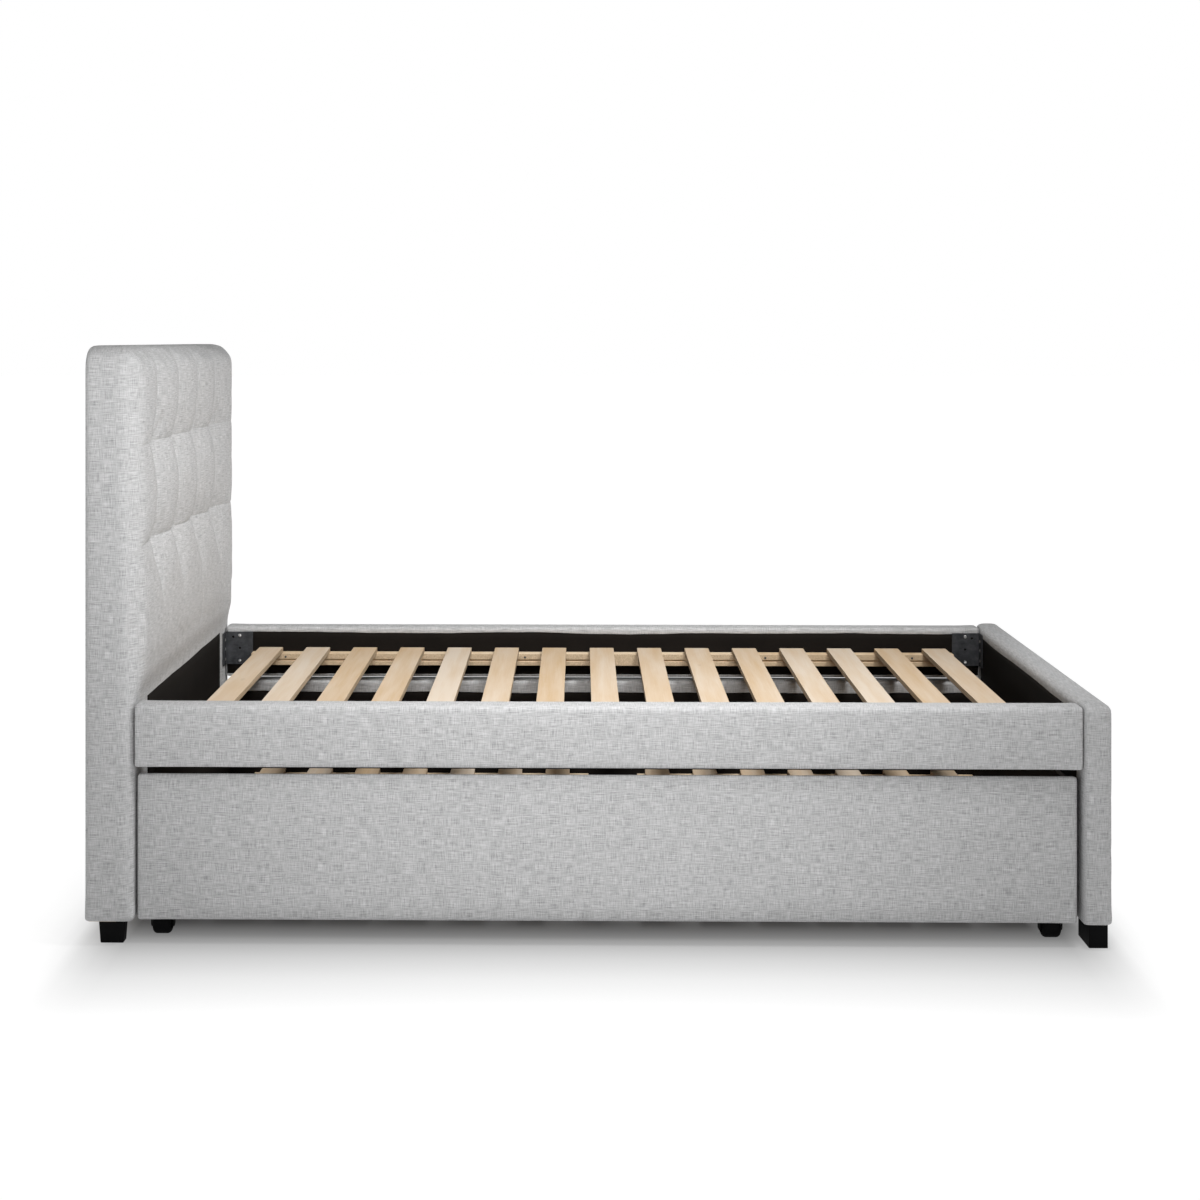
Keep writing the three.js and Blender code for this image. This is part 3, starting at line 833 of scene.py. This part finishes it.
def make_headboard():
    low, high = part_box("headboard_cover")
    board = Board(low, np.array(high, float) - [INNER_SETBACK, 0, 0], (1, 0, 0))
    length, height, thick = board.size
    near = (-7 * MM, -3 * MM, 0.0, 3 * MM, 7 * MM)
    across = [s + d for s in SEAMS_ACROSS for d in near]
    up = [s - board.centre[2] + d for s in SEAMS_UP for d in near]
    grids = [
        lines(length, 11 * MM, close=across, ends=(7 * MM, 15 * MM, 26 * MM)),
        lines(height, 11 * MM, close=up, ends=(5 * MM, 12 * MM, 28 * MM)),
        lines(thick, 11 * MM, ends=(7 * MM, 15 * MM, 28 * MM)),
    ]
    cover = slab("headboard_upholstery", board, grids, HEAD_EDGES, tuft_relief(board))
    slope_top(cover)
    simulate_headboard(cover, board)
    add_modifier(cover, "SUBSURF", levels=1, render_levels=1)
    dress(cover, "linen", "bed")
    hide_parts("headboard_cover")
    across = (-HEAD_LINING["half"], HEAD_LINING["half"])
    up = (8 * MM - height / 2, HEAD_LINING["top"] - board.centre[2])
    waves = (wavy(91, 0.2, 0.8 * MM), wavy(92, 0.2, 0.8 * MM), still, wavy(93, 0.3, 1.2 * MM))
    name = "headboard_upholstery_lining"
    lining_sheet(name, board, across, up, thick / 2 + 0.1 * MM, 94, "bed", waves)


def simulate_headboard(obj, board):
    """The tufts' nodes are stitched down, and the cloth puffs up between them."""
    u, v, w = board.own([vertex.co for vertex in obj.data.vertices])
    y, z = u + board.centre[1], v + board.centre[2]
    node_distance = np.min([np.hypot(y - a, z - b) for a in SEAMS_ACROSS for b in SEAMS_UP], axis=0)
    from_outline = np.minimum(board.size[0] / 2 - abs(u), board.size[1] / 2 - abs(v))
    face = w > board.size[2] / 2 - 30 * MM
    held = np.where(face, 1 - smooth((z - 500 * MM) / (100 * MM)), 1.0)
    held = np.where((node_distance < 6 * MM) | (from_outline < 4 * MM), 1.0, held)
    settle(obj, held, most=5 * MM, pressure=1.2, shrink=-0.012, frames=14)


# ------------------------------------------------------------------ fasteners and wheels

def screw(centre, normal, spin, radius_of_head):
    """A pan-head screw with a cross recess: vertices and faces, about its own seat."""
    count = 14
    steps = np.linspace(-1, 1, count + 1)
    s, t = (g.ravel() for g in np.meshgrid(steps, steps, indexing="ij"))
    reach = np.maximum(abs(s), abs(t))
    length = np.maximum(np.hypot(s, t), 1e-9)
    x, y = s * reach / length, t * reach / length
    radius = np.hypot(x, y)
    dome = 0.52 * np.sqrt(np.maximum(1 - 0.92 * radius ** 3, 0))
    turned_x = x * math.cos(spin) - y * math.sin(spin)
    turned_y = x * math.sin(spin) + y * math.cos(spin)
    slot = (np.minimum(abs(turned_x), abs(turned_y)) < 0.13) & (radius < 0.62)
    lift = dome - 0.34 * slot
    w = Vector(normal)
    a = w.orthogonal().normalized()
    b = w.cross(a)
    points = [
        Vector(centre) + radius_of_head * (a * px + b * py + w * pz) for px, py, pz in zip(x, y, lift)
    ]
    faces = []
    for i in range(count):
        for j in range(count):
            k = i * (count + 1) + j
            faces.append([k, k + count + 1, k + count + 2, k + 1])
    return points, faces


def screws(name, places, body, radius, material="zinc"):
    """One piece that holds several screws. places: (centre, normal) pairs."""
    points, faces = [], []
    for number, (centre, normal) in enumerate(places):
        more, quads = screw(centre, normal, 0.7 * number, radius)
        faces += [[len(points) + k for k in quad] for quad in quads]
        points += more
    obj = mesh_object(name, points, faces)
    return dress(obj, material, body)


def bracket_screws():
    """Screws in the brackets' holes; one hole in each rail leg's row, and the one beside it, stay empty."""
    plate = 2.5 * MM
    for end_name, end in ENDS.items():
        for side_name, side in SIDES.items():
            low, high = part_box(f"{end_name}_bracket_{side_name}")
            face = low.x if end < 0 else high.x
            rail_y = high.y if side > 0 else low.y
            distance, heights = BRACKET_SCREWS["rail"]
            places = [((face - end * distance, rail_y - side * plate, z), (0, -side, 0)) for z in heights]
            distance, heights = BRACKET_SCREWS["end"]
            places += [((face - end * plate, rail_y - side * distance, z), (-end, 0, 0)) for z in heights]
            screws(f"bracket_screws_{end_name}_{side_name}", places, "bed", 3.9 * MM)


def ledger_screws():
    """Dark screws through the ledgers into the rails, just above the groove."""
    for side_name, side in SIDES.items():
        low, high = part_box(f"slat_ledger_{side_name}")
        inner_y = low.y if side > 0 else high.y
        places = [((x, inner_y, high.z - 9 * MM), (0, -side, 0)) for x in LEDGER_SCREWS]
        screws(f"ledger_screws_{side_name}", places, "bed", 2.7 * MM, "steel")


def trundle_screws():
    """Two screws at each corner of the trundle, through the panel's end into the end board."""
    for side_name, side in SIDES.items():
        low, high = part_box(f"trundle_panel_{side_name}")
        inner_y = low.y if side > 0 else high.y
        places = []
        for end_name, end in ENDS.items():
            board_low, board_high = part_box(f"trundle_end_{end_name}")
            inside = board_high.x if end < 0 else board_low.x
            for step in (14 * MM, 28 * MM):
                places.append(((inside - end * step, inner_y, 138 * MM), (0, -side, 0)))
        screws(f"trundle_screws_{side_name}", places, "trundle", 3.9 * MM)


def lathe(name, profile, segments):
    """A turned piece about the X axis. profile: (x, radius) pairs that close on themselves."""
    points, faces = [], []
    for i in range(segments):
        angle = 2 * math.pi * i / segments
        points += [(x, r * math.cos(angle), r * math.sin(angle)) for x, r in profile]
    count = len(profile)
    for i in range(segments):
        for j in range(count):
            k = (j + 1) % count
            n = (i + 1) % segments
            faces.append([i * count + j, i * count + k, n * count + k, n * count + j])
    return mesh_object(name, points, faces)


def wheel_profile(radius, half, bore):
    """A barrel-shaped tread with a parting line, dished sides and a hub."""
    shoulder, dish, hub = 9 * MM, 4 * MM, 9 * MM
    rim = radius - shoulder
    groove = 0.4 * MM
    ease_in = 1.5 * MM
    dished = [(dish - half, hub + ease_in), (dish - half, rim - ease_in)]
    side = [(-half, bore), (-half, hub), *dished, (-half, rim)]
    arc = []
    for i in range(1, 10):
        angle = math.radians(90 * i / 9)
        arc.append((shoulder - half - shoulder * math.cos(angle), rim + shoulder * math.sin(angle)))
    middle = [(-groove, radius), (0, radius - groove)]
    left = side + arc + middle
    return left + [(-x, r) for x, r in reversed(left[:-1])]


def make_wheels():
    for end in ENDS:
        for side in SIDES:
            name = f"wheel_{end}_{side}"
            low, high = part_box(name)
            centre = (low + high) / 2
            radius = (high.z - low.z) / 2
            profile = wheel_profile(radius, (high.x - low.x) / 2, WHEEL_BORE)
            obj = lathe(f"castor_{name}", profile, 72)
            obj.data.transform(Matrix.Translation(centre))
            ease(obj, 0.5 * MM, 40)
            dress(obj, "plastic", name)
            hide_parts(name)


LOOKS = {  # how a CAD node's name starts: its material and how far its edges are eased
    "slat_ledger": ("pine", 1.2 * MM),
    "trundle_ledger": ("pine", 1.2 * MM),
    "slat_": ("birch", 1.0 * MM),
    "trundle_slat_": ("birch", 1.0 * MM),
    "head_foot_": ("plastic", 1.5 * MM),
    "foot_foot_": ("plastic", 1.5 * MM),
    "castor_bracket_": ("plastic", 0.6 * MM),
    "trundle_end_": ("lining", 1.0 * MM),
    "headboard_frame": ("board", 1.5 * MM),
    "head_bracket_": ("steel", 0.5 * MM),
    "foot_bracket_": ("steel", 0.5 * MM),
}


def redress_cad():
    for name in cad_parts:
        for start, (material, bevel) in LOOKS.items():
            if name.startswith(start):
                redress(name, material, bevel)
                break


# ------------------------------------------------------------------ floor, light and camera

def distance_ramp(tree, distance, levels):
    """A grey that follows (distance in metres, level) pairs."""
    start, end = levels[0][0], levels[-1][0]
    place = maths(tree, "DIVIDE", maths(tree, "SUBTRACT", distance, start), end - start)
    return ramp(tree, place, [((d - start) / (end - start), (level,) * 3) for d, level in levels])


def make_stage():
    """A floor that glows, though it is no lamp. Its glow is a painted shade: dark next to the bed, for the
    bed's soft shadow, and rising to white away from it, so that no horizon shows.
    """
    size = 40
    points = [(-size, -size, 0), (size, -size, 0), (size, size, 0), (-size, size, 0)]
    floor = mesh_object("floor", points, [[0, 1, 2, 3]])
    material, tree, shader = new_material("studio_floor")
    place = node(tree, "ShaderNodeNewGeometry").outputs["Position"]
    split = node(tree, "ShaderNodeSeparateXYZ", {"Vector": place})
    high = CAD_BOX[1]
    painted_shade_glows = []
    for axis, half, levels in (("X", high.x, PAINTED_SHADE_GLOW_ASIDE), ("Y", high.y, PAINTED_SHADE_GLOW_AHEAD)):
        distance = maths(tree, "SUBTRACT", maths(tree, "ABSOLUTE", split.outputs[axis]), half)
        painted_shade_glows.append(distance_ramp(tree, distance, levels))
    painted_shade_aside, painted_shade_ahead = painted_shade_glows
    # the emission paints the floor's shade: low by the bed, where its shadow falls, and white further out
    feed(tree, shader, {
        "Emission Color": mix_colour(tree, painted_shade_aside, painted_shade_ahead, (1, 1, 1)),
        "Emission Strength": 1.0,
        "Base Color": (FLOOR_WHITE,) * 3 + (1,),
        "Roughness": 0.9,
        "Specular IOR Level": 0.1,
    })
    floor.data.materials.append(material)


def make_lights():
    """Lamps in front for the faces, and a small bright one over the bed that throws the slats' shadows."""
    for name, (place, aim, power, cone, radius) in LAMPS.items():
        light = bpy.data.lights.new(name, "SPOT")
        light.energy = power
        light.spot_size = math.radians(cone)
        light.spot_blend = 1.0
        light.shadow_soft_size = radius
        obj = bpy.data.objects.new(name, light)
        obj.location = place
        obj.rotation_euler = (Vector(aim) - Vector(place)).to_track_quat("-Z", "Y").to_euler()
        bpy.context.scene.collection.objects.link(obj)


def make_world():
    """A white band round the horizon, and a dimmer sky above it."""
    world = bpy.data.worlds.new("studio")
    world.use_nodes = True
    tree = world.node_tree
    direction = node(tree, "ShaderNodeTexCoord").outputs["Generated"]
    rise = node(tree, "ShaderNodeSeparateXYZ", {"Vector": direction}).outputs["Z"]
    band, clear = (math.sin(math.radians(degrees)) for degrees in SKY_BAND)
    sky = ramp(tree, rise, [(band, (1, 1, 1)), (clear, (SKY,) * 3)])
    background = tree.nodes["Background"]
    tree.links.new(sky, background.inputs["Color"])
    background.inputs["Strength"].default_value = 1.0
    bpy.context.scene.world = world


def make_camera():
    """A level camera in front of the bed, a little above its headboard, turned slightly to the left."""
    camera = bpy.data.cameras.new("camera")
    camera.sensor_width = 36
    camera.lens = 56.6
    camera.shift_x = 0.0386
    camera.shift_y = -0.231
    camera.clip_end = 100
    obj = bpy.data.objects.new("camera", camera)
    obj.location = (-0.0335, -4.315, 1.258)
    obj.rotation_euler = (math.radians(90), 0, math.radians(0.8))
    bpy.context.scene.collection.objects.link(obj)
    bpy.context.scene.camera = obj


make_camera()
make_stage()
make_world()
make_lights()
bpy.context.scene.view_settings.view_transform = "Standard"

make_headboard()
make_rails()
make_footboard()
make_trundle_panels()
bracket_screws()
ledger_screws()
trundle_screws()
make_wheels()
redress_cad()
